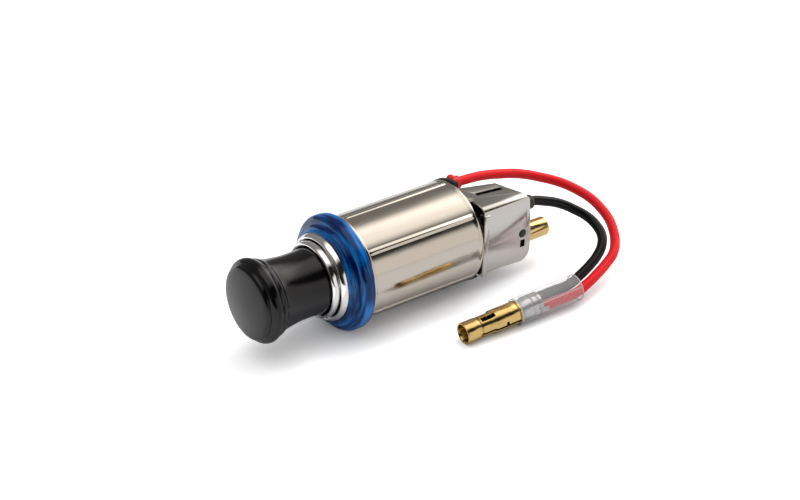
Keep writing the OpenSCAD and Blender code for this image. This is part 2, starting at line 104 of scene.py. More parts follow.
def turn(name, outline, steps=96):
    """A solid turned about the X axis: its closed outline is drawn as a line, and the line is spun."""
    piece = draw(name, [(x, 0, r) for x, r in outline + outline[:1]])
    bpy.ops.mesh.remove_doubles(threshold=0.001 * mm)
    bpy.ops.mesh.spin(steps=steps, angle=math.tau, center=(0, 0, 0), axis=(1, 0, 0))
    bpy.ops.mesh.select_all(action="SELECT")
    bpy.ops.mesh.remove_doubles(threshold=0.001 * mm)
    bpy.ops.mesh.dissolve_degenerate(threshold=0.001 * mm)
    bpy.ops.mesh.normals_make_consistent(inside=False)
    bpy.ops.object.mode_set(mode="OBJECT")
    return piece


def pick(piece):
    """Makes a piece the active one, and the only one that is selected."""
    bpy.ops.object.select_all(action="DESELECT")
    piece.select_set(True)
    bpy.context.view_layer.objects.active = piece


def modify(piece, kind, **settings):
    """Gives a piece one modifier with its settings, and applies it."""
    pick(piece)
    bpy.ops.object.modifier_add(type=kind)
    modifier = piece.modifiers[-1]
    for setting, value in settings.items():
        setattr(modifier, setting, value)
    bpy.ops.object.modifier_apply(modifier=modifier.name)


def soften(piece, width, segments=2, angle=30):
    """Takes the sharpness off the edges, as tumbling and plating do."""
    modify(piece, "BEVEL", width=width * mm, segments=segments, limit_method="ANGLE",
           angle_limit=math.radians(angle))


def smooth(piece, angle=40):
    """Smooth shading, apart from the edges that are sharper than the angle."""
    pick(piece)
    bpy.ops.object.shade_smooth_by_angle(angle=math.radians(angle))


def place(piece, location, rotation=(0, 0, 0)):
    """Puts a piece where it belongs, and leaves its object at the origin."""
    pick(piece)
    piece.location = location
    piece.rotation_euler = rotation
    bpy.ops.object.transform_apply(location=True, rotation=True, scale=True)


def dress(piece, body, node, material):
    """Gives a piece its material and the body that it moves with, and hides the node that it stands for.
    """
    piece.data.materials.clear()
    piece.data.materials.append(material)
    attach(piece, body)
    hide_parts(node)


def seat(piece, body, node, material, location=axis_start, rotation=(0, tilt, 0)):
    """Puts a piece that was made about the X axis on the lighter's own axis, in place of its node."""
    place(piece, location, rotation)
    dress(piece, body, node, material)


def finish(name, colour, metallic, roughness, **settings):
    """A material with one principled shader, and its constant values on the shader's own sockets."""
    material = bpy.data.materials.new(name)
    material.use_nodes = True
    shader = material.node_tree.nodes["Principled BSDF"]
    shader.inputs["Base Color"].default_value = (*colour, 1)
    shader.inputs["Metallic"].default_value = metallic
    shader.inputs["Roughness"].default_value = roughness
    for socket, value in settings.items():
        shader.inputs[socket.replace("_", " ")].default_value = value
    return material


def along_lighter(tree, units):
    """Places on the lighter's own axes, counted in the given units."""
    coordinates = tree.nodes.new("ShaderNodeTexCoord")
    axes = tree.nodes.new("ShaderNodeMapping")
    axes.vector_type = "TEXTURE"
    axes.inputs["Location"].default_value = axis_start
    axes.inputs["Rotation"].default_value = (0, tilt, 0)
    axes.inputs["Scale"].default_value = units
    tree.links.new(coordinates.outputs["Object"], axes.inputs["Vector"])
    return axes.outputs["Vector"]


def noise(material, size, stretch=(1, 1, 1), detail=3.0):
    """Noise in the lighter's own axes. The size is that of its blotches in millimetres."""
    tree = material.node_tree
    texture = tree.nodes.new("ShaderNodeTexNoise")
    texture.inputs["Scale"].default_value = 1.0
    texture.inputs["Detail"].default_value = detail
    tree.links.new(along_lighter(tree, [s * size * mm for s in stretch]), texture.inputs["Vector"])
    return texture.outputs["Fac"]


def bump(material, height, depth):
    """Adds relief of a depth in millimetres on top of any relief that is already there."""
    tree = material.node_tree
    shader = tree.nodes["Principled BSDF"]
    relief = tree.nodes.new("ShaderNodeBump")
    relief.inputs["Strength"].default_value = 1.0
    relief.inputs["Distance"].default_value = depth * mm
    tree.links.new(height, relief.inputs["Height"])
    if shader.inputs["Normal"].is_linked:
        tree.links.new(shader.inputs["Normal"].links[0].from_socket, relief.inputs["Normal"])
    tree.links.new(relief.outputs["Normal"], shader.inputs["Normal"])


def ramp(tree, value, start, end, low, high, curve="LINEAR"):
    """A value that runs from low to high while another one goes from start to end."""
    span = tree.nodes.new("ShaderNodeMapRange")
    span.interpolation_type = curve
    for socket, number in (("From Min", start), ("From Max", end), ("To Min", low), ("To Max", high)):
        span.inputs[socket].default_value = number
    tree.links.new(value, span.inputs["Value"])
    return span.outputs["Result"]


def vary(material, socket, factor, low, high, start=0.35, end=0.65):
    """Lets a colour or a value of the shader run from low to high as a factor rises."""
    tree = material.node_tree
    shader = tree.nodes["Principled BSDF"]
    if isinstance(low, tuple):
        colours = tree.nodes.new("ShaderNodeValToRGB")
        for stop, position, colour in zip(colours.color_ramp.elements, (start, end), (low, high)):
            stop.position = position
            stop.color = (*colour, 1)
        tree.links.new(factor, colours.inputs["Fac"])
        tree.links.new(colours.outputs["Color"], shader.inputs[socket])
    else:
        tree.links.new(ramp(tree, factor, start, end, low, high), shader.inputs[socket])


chrome = finish("Chrome", (0.84, 0.83, 0.82), 1.0, 0.06)
vary(chrome, "Roughness", noise(chrome, 1.2), 0.04, 0.1)
bump(chrome, noise(chrome, 1.5, (1, 1, 1), 2), 0.01)

socket_cup = turn("drawn_socket_cup", [
    (-7.9, bore_r), (-8.45, bore_r + 0.35), (-8.78, 11.1), (-8.92, 11.25), (-8.94, 11.4), (-8.88, 11.55),
    (-8.7, 11.75), (-8.45, 11.95), (-8.2, 12.11), (-7.95, 12.24), (-7.7, 12.31), (-7.45, bezel_r),
    (-ring_len, bezel_r), (-ring_len, cup_out), (cup_end - 1.5, cup_out),
    *arc((cup_end - 1.5, cup_out - 1.5), 1.5, 90, 0, 8),
    (cup_end, 4), (cup_end - 0.6, 4),
    *arc((cup_end - 1.5, cup_out - 1.5), 0.9, 0, 90, 6),
], 128)
smooth(socket_cup)
seat(socket_cup, "socket", "socket_cup", chrome)


# Glow ring
# The blue translucent ring that the panel sits against. It is moulded in one piece with a fine
# rim by the bezel, a round bead and a wide flange, and the lamp lights it from behind.
ring_r = 16.35
shell_in = 13.9
flange_rear = -1.2
edge_front = -0.9
edge_r = 15.5


def reckon(tree, operation, *values):
    """A sum, a product or the like, of sockets and constant values."""
    node = tree.nodes.new("ShaderNodeMath")
    node.operation = operation
    for socket, value in zip(node.inputs, values):
        if isinstance(value, (int, float)):
            socket.default_value = value
        else:
            tree.links.new(value, socket)
    return node.outputs[0]


def round_streaks(material, size, round_step=1.5):
    """Noise drawn out round the lighter's axis, as moulding marks are, and as the painted glints in the
    blue plastic run: its steps there are angles.
    """
    tree = material.node_tree
    parts = tree.nodes.new("ShaderNodeSeparateXYZ")
    across = tree.nodes.new("ShaderNodeCombineXYZ")
    radius = tree.nodes.new("ShaderNodeVectorMath")
    radius.operation = "LENGTH"
    profile = tree.nodes.new("ShaderNodeCombineXYZ")
    texture = tree.nodes.new("ShaderNodeTexNoise")
    texture.inputs["Scale"].default_value = 1.0
    tree.links.new(along_lighter(tree, [size * mm] * 3), parts.inputs["Vector"])
    tree.links.new(parts.outputs["Y"], across.inputs["Y"])
    tree.links.new(parts.outputs["Z"], across.inputs["Z"])
    tree.links.new(across.outputs["Vector"], radius.inputs[0])
    angle = reckon(tree, "ARCTAN2", parts.outputs["Y"], parts.outputs["Z"])
    tree.links.new(parts.outputs["X"], profile.inputs["X"])
    tree.links.new(radius.outputs["Value"], profile.inputs["Y"])
    tree.links.new(reckon(tree, "MULTIPLY", angle, round_step), profile.inputs["Z"])
    tree.links.new(profile.outputs["Vector"], texture.inputs["Vector"])
    return texture.outputs["Fac"]


blue = finish("Blue translucent plastic", (0.004, 0.04, 0.26), 0.0, 0.05, IOR=1.65,
              Specular_Tint=(0.34, 0.6, 1, 1))
# The base colour runs in streaks round the axis from dark navy to bright azure: uneven tone in the
# moulding, and painted highlights and reflections inside the translucent plastic.
vary(blue, "Base Color", round_streaks(blue, 1.3), (0.001, 0.012, 0.095), (0.008, 0.22, 0.72), 0.43, 0.72)
bump(blue, round_streaks(blue, 0.4), 0.03)

glow_ring = turn("moulded_glow_ring", [
    (-ring_len, cup_out + 0.05), (-ring_len, 12.3), (-7.2, 12.7), (-7, 12.9), (-6.8, 12.85),
    (-6.65, 13.2), (-6.45, 13.8), (-6.15, 14.15), (-5.8, 14.25), (-5.5, 14.15), (-5.3, 13.95),
    (-5.15, 14.1), (-4.95, 14.9), (-4.6, 15.6), (-4.1, 16.1), (-3.5, ring_r),
    (-1.5, ring_r), (-1.3, 16.25), (flange_rear, 16.1), (flange_rear, edge_r + 0.1),
    (edge_front, edge_r + 0.1), (edge_front, shell_in - 0.05),
    (1.2, shell_in - 0.05), (1.2, 12.7), (5, 12.3), (5, cup_out + 0.05),
], 128)
soften(glow_ring, 0.12, 2, 25)
smooth(glow_ring)
seat(glow_ring, "socket", "glow_ring", blue)


# Clamp shell
# The nickel-plated steel barrel that clamps the ring to the panel. It is drawn from sheet, with
# a rolled front edge and six ribs pressed out along it, and its rear end is closed.
shell_r = 14.5
shell_len = 37
rib_h = 0.35
rib_from, rib_to = 2, 34.8
rib_angles = [33, 82.5, 136.5, 213, 262.5, 316.5]
shell_steps = 480
nickel = finish("Nickel plate", (0.6, 0.545, 0.475), 1.0, 0.13)
vary(nickel, "Roughness", noise(nickel, 0.6, (8, 1, 1)), 0.1, 0.18)
bump(nickel, noise(nickel, 0.25, (3, 1, 1)), 0.0035)


def pick_points(piece, test):
    """Goes into edit mode with the vertices selected whose place in millimetres passes a test."""
    pick(piece)
    bpy.ops.object.mode_set(mode="EDIT")
    bpy.ops.mesh.select_mode(type="VERT")
    bpy.ops.mesh.select_all(action="DESELECT")
    bpy.ops.object.mode_set(mode="OBJECT")
    for v in piece.data.vertices:
        v.select = test(*(v.co / mm))
    bpy.ops.object.mode_set(mode="EDIT")


def shift(piece, test, step):
    """Moves the vertices whose place in millimetres passes a test."""
    pick_points(piece, test)
    bpy.ops.transform.translate(value=[s * mm for s in step])
    bpy.ops.object.mode_set(mode="OBJECT")


clamp_shell = turn("ribbed_clamp_shell", [
    (edge_front, shell_in), (edge_front, edge_r - 0.25), (edge_front + 0.1, edge_r - 0.07),
    (edge_front + 0.25, edge_r), (-0.25, edge_r), (-0.05, edge_r - 0.1), (0.1, edge_r - 0.35),
    (0.3, shell_r), (0.6, shell_r), (rib_from, shell_r), (rib_to, shell_r), (35.5, shell_r),
    (35.65, shell_r + 0.1), *arc((shell_len - 1, shell_r - 0.85), 1, 90, 0, 8),
    (shell_len, 4), (shell_len - 0.6, 4),
    *arc((shell_len - 1, shell_r - 1), 0.4, 0, 90, 4),
], shell_steps)
turn_step = 360 / shell_steps
rib_shares = ((0, 1), (1, 0.94), (2, 0.76), (3, 0.42))
for angle in rib_angles:
    for row, share in rib_shares:
        for side in ((-1, 1) if row else (1,)):
            bearing = math.radians(angle + side * row * turn_step)
            out_y, out_z = math.cos(bearing), math.sin(bearing)

            def on_row(x, y, z):
                ahead, aside = y * out_y + z * out_z, y * out_z - z * out_y
                return ahead > shell_r - 0.1 and abs(aside) < 0.06 and rib_from - 0.1 < x < rib_to + 0.1

            shift(clamp_shell, on_row, (0, out_y * rib_h * share, out_z * rib_h * share))
smooth(clamp_shell, 55)
seat(clamp_shell, "socket", "clamp_shell", nickel)


# Insulating bush
# The moulded brown bush that keeps the live centre bolt off the grounded cup and barrel. Its
# flange lies against the cup's floor.
bolt_r = 2
brown = finish("Brown insulation", (0.16, 0.07, 0.03), 0.0, 0.45)
insulating_bush = turn("flanged_insulating_bush", [
    (35, bolt_r + 0.05), (35, 6), (35.8, 6), (35.8, 3.95), (37, 3.95), (37, bolt_r + 0.05),
], 64)
soften(insulating_bush, 0.12)
smooth(insulating_bush)
seat(insulating_bush, "socket", "insulating_bush", brown)


# Bimetal clip
# Three spring fingers of bimetal strip on one disc, which the centre bolt holds on the bush. They
# keep the pressed heater cup in until it is hot, then bend and let it go.
def plate(name, outline, thickness, angle=0):
    """A plate cut to an outline of (along, height) pairs, centred on Y and turned about the X axis."""
    piece = draw(name, [(x, -thickness / 2, z) for x, z in outline + outline[:1]])
    bpy.ops.mesh.remove_doubles(threshold=0.001 * mm)
    bpy.ops.mesh.edge_face_add()
    bpy.ops.mesh.extrude_region_move(TRANSFORM_OT_translate={"value": (0, thickness * mm, 0)})
    bpy.ops.mesh.select_all(action="SELECT")
    bpy.ops.mesh.normals_make_consistent(inside=False)
    bpy.ops.object.mode_set(mode="OBJECT")
    place(piece, (0, 0, 0), (math.radians(angle), 0, 0))
    return piece


def join(name, pieces):
    """Makes one object of several."""
    bpy.ops.object.select_all(action="DESELECT")
    for piece in pieces:
        piece.select_set(True)
    bpy.context.view_layer.objects.active = pieces[0]
    bpy.ops.object.join()
    pieces[0].name = name
    pieces[0].data.name = name
    return pieces[0]


bimetal = finish("Bimetal strip", (0.5, 0.36, 0.22), 1.0, 0.3)
vary(bimetal, "Roughness", noise(bimetal, 0.8), 0.25, 0.4)
fingers = [turn("bimetal_disc", [
    (34.4, bolt_r + 0.05), (34.4, 6.2), (35, 6.2), (35, bolt_r + 0.05),
], 64)]
for angle in (30, 150, 270):
    fingers.append(plate("bimetal_finger", [
        (34.4, 5.5), (32.9, 8.6), (30.7, 8.65), (29.6, 8.2), (28.8, 8.2), (28.2, 8.75),
        (28.5, 9.2), (29, 8.7), (29.5, 8.7), (30.6, 9.15), (33.2, 9.15), (35, 6), (35, 5.5),
    ], 5, angle))
bimetal_clip = join("bimetal_finger_clip", fingers)
soften(bimetal_clip, 0.08)
smooth(bimetal_clip)
seat(bimetal_clip, "socket", "bimetal_clip", bimetal)


# Contact bolt, washer and nut
# The live centre contact of turned brass, held through the bush and the disc by a zinc-plated
# hexagon nut over a plain washer.
def cut(piece, tool, operation="DIFFERENCE"):
    """Cuts a piece with a tool, adds the tool to it or keeps what they share, and deletes the tool."""
    modify(piece, "BOOLEAN", operation=operation, object=tool, solver="EXACT")
    bpy.ops.object.select_all(action="DESELECT")
    tool.select_set(True)
    bpy.ops.object.delete()


def drill(start, end, radius, y=0, z=0, vertices=32):
    """A round tool or bar along the X axis."""
    bpy.ops.object.select_all(action="DESELECT")
    bpy.ops.mesh.primitive_cylinder_add(
        vertices=vertices, radius=radius * mm, depth=(end - start) * mm,
        location=((start + end) / 2 * mm, y * mm, z * mm), rotation=(0, math.pi / 2, 0))
    bpy.ops.object.transform_apply(location=True, rotation=True, scale=True)
    return bpy.context.object


brass = finish("Turned brass", (0.82, 0.62, 0.27), 1.0, 0.14)
vary(brass, "Roughness", noise(brass, 0.4, (4, 1, 1)), 0.12, 0.24)
bump(brass, noise(brass, 0.12, (12, 1, 1)), 0.003)
steel = finish("Zinc-plated steel", (0.62, 0.62, 0.6), 1.0, 0.28)
vary(steel, "Roughness", noise(steel, 0.8), 0.22, 0.38)

contact_bolt = turn("turned_contact_bolt", [
    (33.2, 0), (33.2, 2.2), (33.6, 3.1), (34.4, 3.4), (34.4, 2), (43, 2), (43.3, 1.7), (43.3, 0),
], 64)
soften(contact_bolt, 0.12)
smooth(contact_bolt)
seat(contact_bolt, "socket", "contact_bolt", brass)

contact_washer = turn("stamped_washer", [
    (38.9, bolt_r + 0.05), (38.9, 4.3), (39.5, 4.3), (39.5, bolt_r + 0.05),
], 64)
soften(contact_washer, 0.12)
smooth(contact_washer)
seat(contact_washer, "socket", "contact_washer", steel)

contact_nut = drill(39.5, 42.3, 4.04, vertices=6)
contact_nut.name = contact_nut.data.name = "hexagon_nut"
cut(contact_nut, turn("nut_blank", [
    (39.5, 0), (39.5, 3.75), (39.8, 4.1), (42, 4.1), (42.3, 3.75), (42.3, 0),
], 64), "INTERSECT")
cut(contact_nut, drill(38, 44, bolt_r + 0.02, vertices=48))
soften(contact_nut, 0.08)
smooth(contact_nut, 20)
seat(contact_nut, "socket", "contact_nut", steel)


# End disc
# The black phenolic disc behind the barrel. It is cut back on the near side, where the hood
# folds down, and has a small hole over the lamp and two for the hood's rivets.
disc_r = 14.75
disc_cut_r = 12.2
disc_rear = 38.4
disc_hole_r, disc_hole_at = 1.3, (-7.2, 10)
rivet_hole_r = 1.05
hood_feet = [(-5, -11.3), (9.6, -7.8)]


def block(name, low, high):
    """A rectangular blank between two corners."""
    bpy.ops.object.select_all(action="DESELECT")
    bpy.ops.mesh.primitive_cube_add(size=1)
    piece = bpy.context.object
    piece.name = piece.data.name = name
    piece.scale = [(b - a) * mm for a, b in zip(low, high)]
    piece.location = [(a + b) / 2 * mm for a, b in zip(low, high)]
    bpy.ops.object.transform_apply(location=True, rotation=True, scale=True)
    return piece


def slice_off(piece, point, normal, clear=True):
    """Cuts through a piece along a plane, and closes the cut where the outer part is cleared."""
    pick(piece)
    bpy.ops.object.mode_set(mode="EDIT")
    bpy.ops.mesh.select_all(action="SELECT")
    bpy.ops.mesh.bisect(plane_co=[p * mm for p in point], plane_no=normal, use_fill=clear,
                        clear_outer=clear)
    bpy.ops.object.mode_set(mode="OBJECT")


black_disc = finish("Black phenolic", (0.012, 0.012, 0.012), 0.0, 0.4)
vary(black_disc, "Roughness", noise(black_disc, 1.5), 0.32, 0.5)
end_disc = turn("milled_end_disc", [
    (shell_len, bolt_r + 0.05), (shell_len, disc_r - 0.2), (shell_len + 0.2, disc_r),
    (disc_rear - 0.2, disc_r), (disc_rear, disc_r - 0.2), (disc_rear, bolt_r + 0.05),
], 120)
disc_waste = block("disc_waste", (shell_len - 1, -20, -20), (disc_rear + 1, 0, 20))
slice_off(disc_waste, (0, 0, 0), (0, 20, -15.6))
cut(disc_waste, drill(shell_len - 2, disc_rear + 2, disc_cut_r, vertices=120))
cut(end_disc, disc_waste)
cut(end_disc, drill(shell_len - 1, disc_rear + 1, disc_hole_r, *disc_hole_at))
for y, z in hood_feet:
    cut(end_disc, drill(shell_len - 1, disc_rear + 1, rivet_hole_r, y, z))
smooth(end_disc, 30)
seat(end_disc, "socket", "end_disc", black_disc)


# Feed strap and red boot
# The stamped brass strap that leads from the centre bolt to a tab, and the red insulated end of
# the feed wire that is pushed over the tab.
tab_angle = 62.5
tab_r = 12.2
tab_top, tab_under = tab_r + 0.25, tab_r - 0.25
tab_end = disc_rear + 3
tab_wide = 2.4
strap_disc = turn("strap_eye", [
    (disc_rear, bolt_r + 0.05), (disc_rear, 4.2), (disc_rear + 0.5, 4.2),
    (disc_rear + 0.5, bolt_r + 0.05),
], 64)
strap_tab = plate("strap_tab", [
    (disc_rear, 3), (disc_rear, tab_top), (tab_end, tab_top), (tab_end, tab_under),
    (disc_rear + 0.5, tab_under), (disc_rear + 0.5, 3),
], tab_wide, tab_angle - 90)
feed_strap = join("stamped_feed_strap", [strap_disc, strap_tab])
soften(feed_strap, 0.08)
smooth(feed_strap)
seat(feed_strap, "socket", "feed_strap", brass)

red_vinyl = finish("Red vinyl", (0.75, 0.008, 0.012), 0.0, 0.35, Specular_IOR_Level=0.4)
bump(red_vinyl, noise(red_vinyl, 0.8), 0.02)
boot_r, bead_r = 1.9, 1.35
red_boot = drill(disc_rear + 0.7, disc_rear + 4.4, boot_r, 0, tab_r, 48)
red_boot.name = red_boot.data.name = "moulded_red_boot"
bpy.ops.mesh.primitive_uv_sphere_add(
    segments=32, ring_count=16, radius=bead_r * mm,
    location=((disc_rear + 2.4) * mm, 0, (tab_r + bead_r) * mm))
boot_bead = bpy.context.object
bpy.ops.object.transform_apply(location=True, rotation=True, scale=True)
cut(red_boot, boot_bead, "UNION")
cut(red_boot, plate("boot_bore", [
    (disc_rear, tab_under), (disc_rear, tab_top), (tab_end, tab_top), (tab_end, tab_under),
], tab_wide))
soften(red_boot, 0.2, 3)
smooth(red_boot)
place(red_boot, (0, 0, 0), (math.radians(tab_angle - 90), 0, 0))
seat(red_boot, "socket", "red_boot", red_vinyl)


# Lamp hood
# The hood over the lamp and the contacts, folded up from nickel-plated steel sheet. It has a slot
# in its top, a small window in its near side and a rolled lip along its open front.
sheet = 0.6
hood_rear = 55.4
hood_rear_top = 54.2
hood_top, hood_bottom = 11.8, -9.4
hood_near, hood_far = -12, 5.2
top_folds = [((44.85, -0.4), 72.3, 40), ((50.1, -2.6), 19, 29.5)]
near_fold, rear_fold, low_fold = 1.8, 3.6, 1.2
slot_at, slot_angle = (45.6, -4.6), -8.5
slot_len, slot_wide = 8.4, 1.6
window_from, window_to = (51.9, -4.7), (53.5, -2.4)
lip_from, lip_out = -9.6, 0.6
low_lip_from = -9.85
foot_end = disc_rear + sheet
nub_at = (52.4, -0.3)
nub_hole_r = 1.25
pin_at, pin_hole_r = (-7, -4.2), 1.7
grommet_at, grommet_hole_r = (-9.4, 7.3), 1.8
edge_hole_r, edge_hole_y = 0.7, -5.9


def fold(piece, test, width, segments):
    """Rounds the edges whose two ends, in millimetres, both pass a test."""
    pick_points(piece, test)
    bpy.ops.mesh.select_mode(type="EDGE")
    bpy.ops.mesh.bevel(offset=width * mm, segments=segments, affect="EDGES")
    bpy.ops.object.mode_set(mode="OBJECT")


def near(a, b):
    """Whether two measures in millimetres are the same."""
    return abs(a - b) < 0.02


def bulge(material):
    """How far a face's middle stands out, from its height over the lighter's axis."""
    tree = material.node_tree
    parts = tree.nodes.new("ShaderNodeSeparateXYZ")
    tree.links.new(along_lighter(tree, [mm] * 3), parts.inputs["Vector"])
    height = parts.outputs["Z"]
    return reckon(tree, "MULTIPLY", reckon(tree, "MULTIPLY", height, height), -1)


hood_nickel = finish("Hood nickel plate", (0.62, 0.59, 0.55), 1.0, 0.22)
vary(hood_nickel, "Roughness", noise(hood_nickel, 0.7), 0.18, 0.26)
bump(hood_nickel, bulge(hood_nickel), 0.008)
bump(hood_nickel, noise(hood_nickel, 5.0, (1, 1, 1), 1), 0.02)
bump(hood_nickel, noise(hood_nickel, 0.3), 0.002)
lamp_hood = block("folded_lamp_hood", (disc_rear, hood_near, hood_bottom),
                  (hood_rear, hood_far, hood_top))
slice_off(lamp_hood, (0, 0, -1), (0, 0, 1), False)
shift(lamp_hood, lambda x, y, z: near(x, hood_rear) and near(z, hood_top),
      (hood_rear_top - hood_rear, 0, 0))
for (x, y), swing, dip in top_folds:
    swing, dip = math.radians(swing), math.radians(dip)
    slice_off(lamp_hood, (x, y, hood_top),
              (math.cos(dip) * math.cos(swing), math.cos(dip) * math.sin(swing), math.sin(dip)))
fold(lamp_hood, lambda x, y, z: near(y, hood_near) and near(z, hood_top), near_fold, 6)
fold(lamp_hood, lambda x, y, z: near(x, hood_rear) and near(z, hood_bottom), rear_fold, 8)
fold(lamp_hood, lambda x, y, z: near(y, hood_near) and near(z, hood_bottom), low_fold, 4)
bpy.ops.object.mode_set(mode="EDIT")
bpy.ops.mesh.select_all(action="DESELECT")
bpy.ops.mesh.select_mode(type="FACE")
bpy.ops.object.mode_set(mode="OBJECT")
for polygon in lamp_hood.data.polygons:
    polygon.select = polygon.normal.x < -0.99
bpy.ops.object.mode_set(mode="EDIT")
bpy.ops.mesh.delete(type="FACE")
bpy.ops.object.mode_set(mode="OBJECT")
modify(lamp_hood, "SOLIDIFY", thickness=sheet * mm, offset=-1, use_even_offset=True)

slot_tool = block("slot_tool", (-slot_len / 2, -slot_wide / 2, -2), (slot_len / 2, slot_wide / 2, 2))
soften(slot_tool, 0.5, 4)
place(slot_tool, (slot_at[0] * mm, slot_at[1] * mm, hood_top * mm), (0, 0, math.radians(slot_angle)))
cut(lamp_hood, slot_tool)
cut(lamp_hood, drill(hood_rear - 2, hood_rear + 1, pin_hole_r, *pin_at))
cut(lamp_hood, drill(hood_rear - 3, hood_rear + 1, grommet_hole_r, *grommet_at))
nub_tool = drill(-2, 2, nub_hole_r, vertices=40)
place(nub_tool, (nub_at[0] * mm, hood_near * mm, nub_at[1] * mm), (0, 0, math.pi / 2))
cut(lamp_hood, nub_tool)
cut(lamp_hood, drill(disc_rear - 1, disc_rear + 1, edge_hole_r, edge_hole_y, hood_top))
cut(lamp_hood, block("latch_window", (window_from[0], hood_near - 1, window_from[1]),
                     (window_to[0], hood_near + 1, window_to[1])))
side_lip = block("side_lip", (disc_rear, hood_near - lip_out, lip_from),
                 (disc_rear + 1.8, hood_near + 0.1, -lip_from))
fold(side_lip, lambda x, y, z: near(y, hood_near - lip_out), 0.55, 6)
low_lip = block("low_lip", (disc_rear, hood_near + lip_out, low_lip_from),
                (disc_rear + 2, hood_far, low_lip_from + 0.55))
fold(low_lip, lambda x, y, z: near(z, low_lip_from), 0.4, 4)
low_foot = block("low_foot", (disc_rear, -7, -12.8), (foot_end, -3, -9))
side_foot = block("side_foot", (disc_rear, 4.8, lip_from), (foot_end, 11.4, -6))
lamp_hood = join("folded_lamp_hood", [lamp_hood, side_lip, low_lip, low_foot, side_foot])
soften(lamp_hood, 0.15, 2, 40)
smooth(lamp_hood, 35)
seat(lamp_hood, "socket", "lamp_hood", hood_nickel)


# Hood rivets
# Two zinc-plated rivets with domed heads, set through the hood's feet, the disc and the barrel.
# They hold the hood, and earth it to the barrel.
rivets = []
for y, z in hood_feet:
    rivet = turn("rivet", [
        (35.9, 0), (35.9, 1.25), (36.4, 1.25), (36.4, 1), (39, 1), (39, 1.4), (39.4, 1.2),
        (39.6, 0.9), (39.7, 0.5), (39.7, 0),
    ], 32)
    place(rivet, (0, y * mm, z * mm))
    rivets.append(rivet)
hood_rivets = join("domed_hood_rivets", rivets)
smooth(hood_rivets)
seat(hood_rivets, "socket", "hood_rivets", steel)


# Terminal pin
# The turned brass stud that stands out of the hood's rear wall, riveted over inside it, with a
# rounded tip for a push-on connector.
pin_r, pin_round, pin_tip = 2.8, 0.7, 64.7
terminal_pin = turn("riveted_terminal_pin", [
    (54.2, 0), (54.2, 1.7), (54.8, 1.9), (54.8, 1.65), (hood_rear, 1.65), (hood_rear, pin_r),
    (pin_tip - pin_round, pin_r), *arc((pin_tip - pin_round, pin_r - pin_round), pin_round, 90, 0, 6),
    (pin_tip, 0),
], 64)
place(terminal_pin, (0, pin_at[0] * mm, pin_at[1] * mm))
smooth(terminal_pin)
seat(terminal_pin, "socket", "terminal_pin", brass)


# Lamp and its holder
# A moulded black block that snaps into the hood's side with a nub, and the small filament lamp
# in it, with a brass cap and a clear glass bulb.
lamp_at = (-7.2, 5.4)
lamp_r, cap_r = 2.9, 3.05
inner_near = hood_near + sheet
lamp_holder = block("moulded_lamp_holder", (45, inner_near, -1.4), (51, -3.4, 9.4))
holder_foot = block("holder_foot", (50, inner_near, -1.4), (53.4, -3.4, 3))
cut(lamp_holder, holder_foot, "UNION")
nub = drill(-0.5, sheet, 1, vertices=40)
place(nub, (nub_at[0] * mm, inner_near * mm, nub_at[1] * mm), (0, 0, -math.pi / 2))
cut(lamp_holder, nub, "UNION")
cut(lamp_holder, drill(44, 50, cap_r + 0.05, *lamp_at, vertices=64))
soften(lamp_holder, 0.15, 2)
smooth(lamp_holder)
seat(lamp_holder, "socket", "lamp_holder", black_disc)

lamp_cap = turn("rolled_lamp_cap", [
    (44.6, 0), (44.6, cap_r), (49.4, cap_r), (50, 2.6), (50, 0),
], 64)
place(lamp_cap, (0, lamp_at[0] * mm, lamp_at[1] * mm))
soften(lamp_cap, 0.1)
smooth(lamp_cap)
seat(lamp_cap, "socket", "lamp_cap", brass)

glass = finish("Bulb glass", (1, 1, 1), 0.0, 0.02, Transmission_Weight=1.0, IOR=1.45)
lamp_bulb = turn("blown_lamp_bulb", [
    (44.6, 0), (44.6, 2.7), (43.8, lamp_r), *arc((42.6, 0), lamp_r, 90, 180, 12),
], 48)
place(lamp_bulb, (0, lamp_at[0] * mm, lamp_at[1] * mm))
smooth(lamp_bulb)
seat(lamp_bulb, "socket", "lamp_bulb", glass)


# Wire grommet
# The moulded rubber bush round the black wire. It is pushed into its hole in the hood's rear wall
# from behind, with its head outside.
rubber = finish("Black rubber", (0.012, 0.012, 0.012), 0.0, 0.5)
wire_grommet = turn("moulded_wire_grommet", [
    (53.4, 1.45), (53.4, 1.75), (54.8, 1.75), (54.8, 2.05), (56.5, 2.05), (57.1, 1.75), (57.1, 1.45),
], 48)
soften(wire_grommet, 0.1)
place(wire_grommet, (0, grommet_at[0] * mm, grommet_at[1] * mm))
smooth(wire_grommet)
seat(wire_grommet, "socket", "wire_grommet", rubber)


# Plug sleeve
# The bright tube of the heater plug. It slides in the socket, and its front is rolled into a
# round lip that the bezel stops.
sleeve_r, sleeve_in = 10.15, 9.65
plug_sleeve = turn("rolled_plug_sleeve", [
    (-10.6, sleeve_in), *arc((-10.05, 9.9), 0.85, 170, 100, 8), (-9.8, 10.78), (-9.4, 10.77),
    *arc((-9.25, 10.3), 0.45, 80, 0, 6), (-8.75, sleeve_r), (27.8, sleeve_r), (27.8, sleeve_in),
], 128)
smooth(plug_sleeve)
seat(plug_sleeve, "plug", "plug_sleeve", chrome)


# Return spring and its seat
# The washer fixed across the sleeve, and the coil spring of drawn wire that bears on it and
# pushes the knob back out.
rod_r = 1.6
seat_from, seat_to = 17, 17.6
spring_seat = turn("fixed_spring_seat", [
    (seat_from, rod_r + 0.05), (seat_from, sleeve_in), (seat_to, sleeve_in), (seat_to, rod_r + 0.05),
])
soften(spring_seat, 0.1)
smooth(spring_seat)
seat(spring_seat, "plug", "spring_seat", steel)

